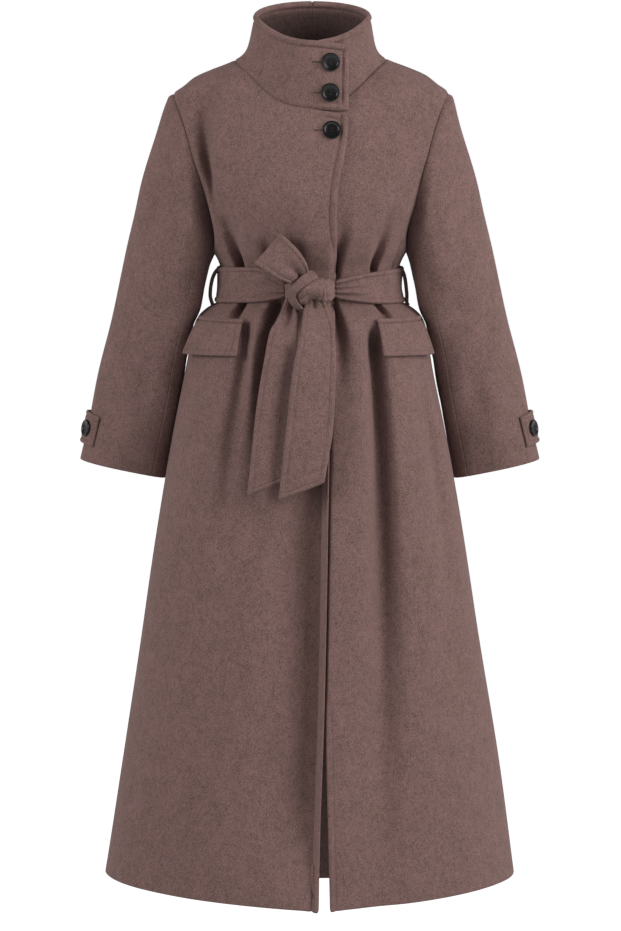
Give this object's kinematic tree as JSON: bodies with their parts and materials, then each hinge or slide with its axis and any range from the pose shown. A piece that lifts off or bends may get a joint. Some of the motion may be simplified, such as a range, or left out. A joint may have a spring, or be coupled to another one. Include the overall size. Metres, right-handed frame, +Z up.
{
  "type": "belted wool coat",
  "caption": "Long hollow wool coat, filled out as worn, with a buttoned funnel collar, tied belt, pocket flaps and cuff tabs, for dressing a figure or stand.",
  "frame": {"origin": "middle of the neck, at the height where the shoulder seams meet the collar, where the wearer's shoulders carry the coat", "axes": "+Z up along the coat, -Y to the front, +X to the wearer's left"},
  "size_m": [0.7002, 0.4136, 1.3638],
  "materials": {
    "wool": "napped wool coating, matt",
    "button": "dark polished resin"
  },
  "bodies": {
    "root": {"bodice_right": "wool", "bodice_left": "wool", "bodice_back": "wool", "skirt_right": "wool", "skirt_left": "wool", "skirt_back": "wool", "collar_right": "wool", "collar_left": "wool", "sleeve_right_top": "wool", "sleeve_right_under": "wool", "sleeve_left_top": "wool", "sleeve_left_under": "wool", "belt_band": "wool", "belt_knot_core": "wool", "belt_knot_wrap": "wool", "belt_bow_loop": "wool", "belt_tail_front": "wool", "belt_tail_rear": "wool", "belt_carrier_right": "wool", "belt_carrier_left": "wool", "pocket_flap_right": "wool", "pocket_flap_left": "wool", "pocket_welt_right": "wool", "pocket_welt_left": "wool", "cuff_tab_right": "wool", "cuff_tab_left": "wool", "button_collar": "button", "button_neck": "button", "button_front": "button", "button_cuff_right": "button", "button_cuff_left": "button"}
  },
  "joints": []
}
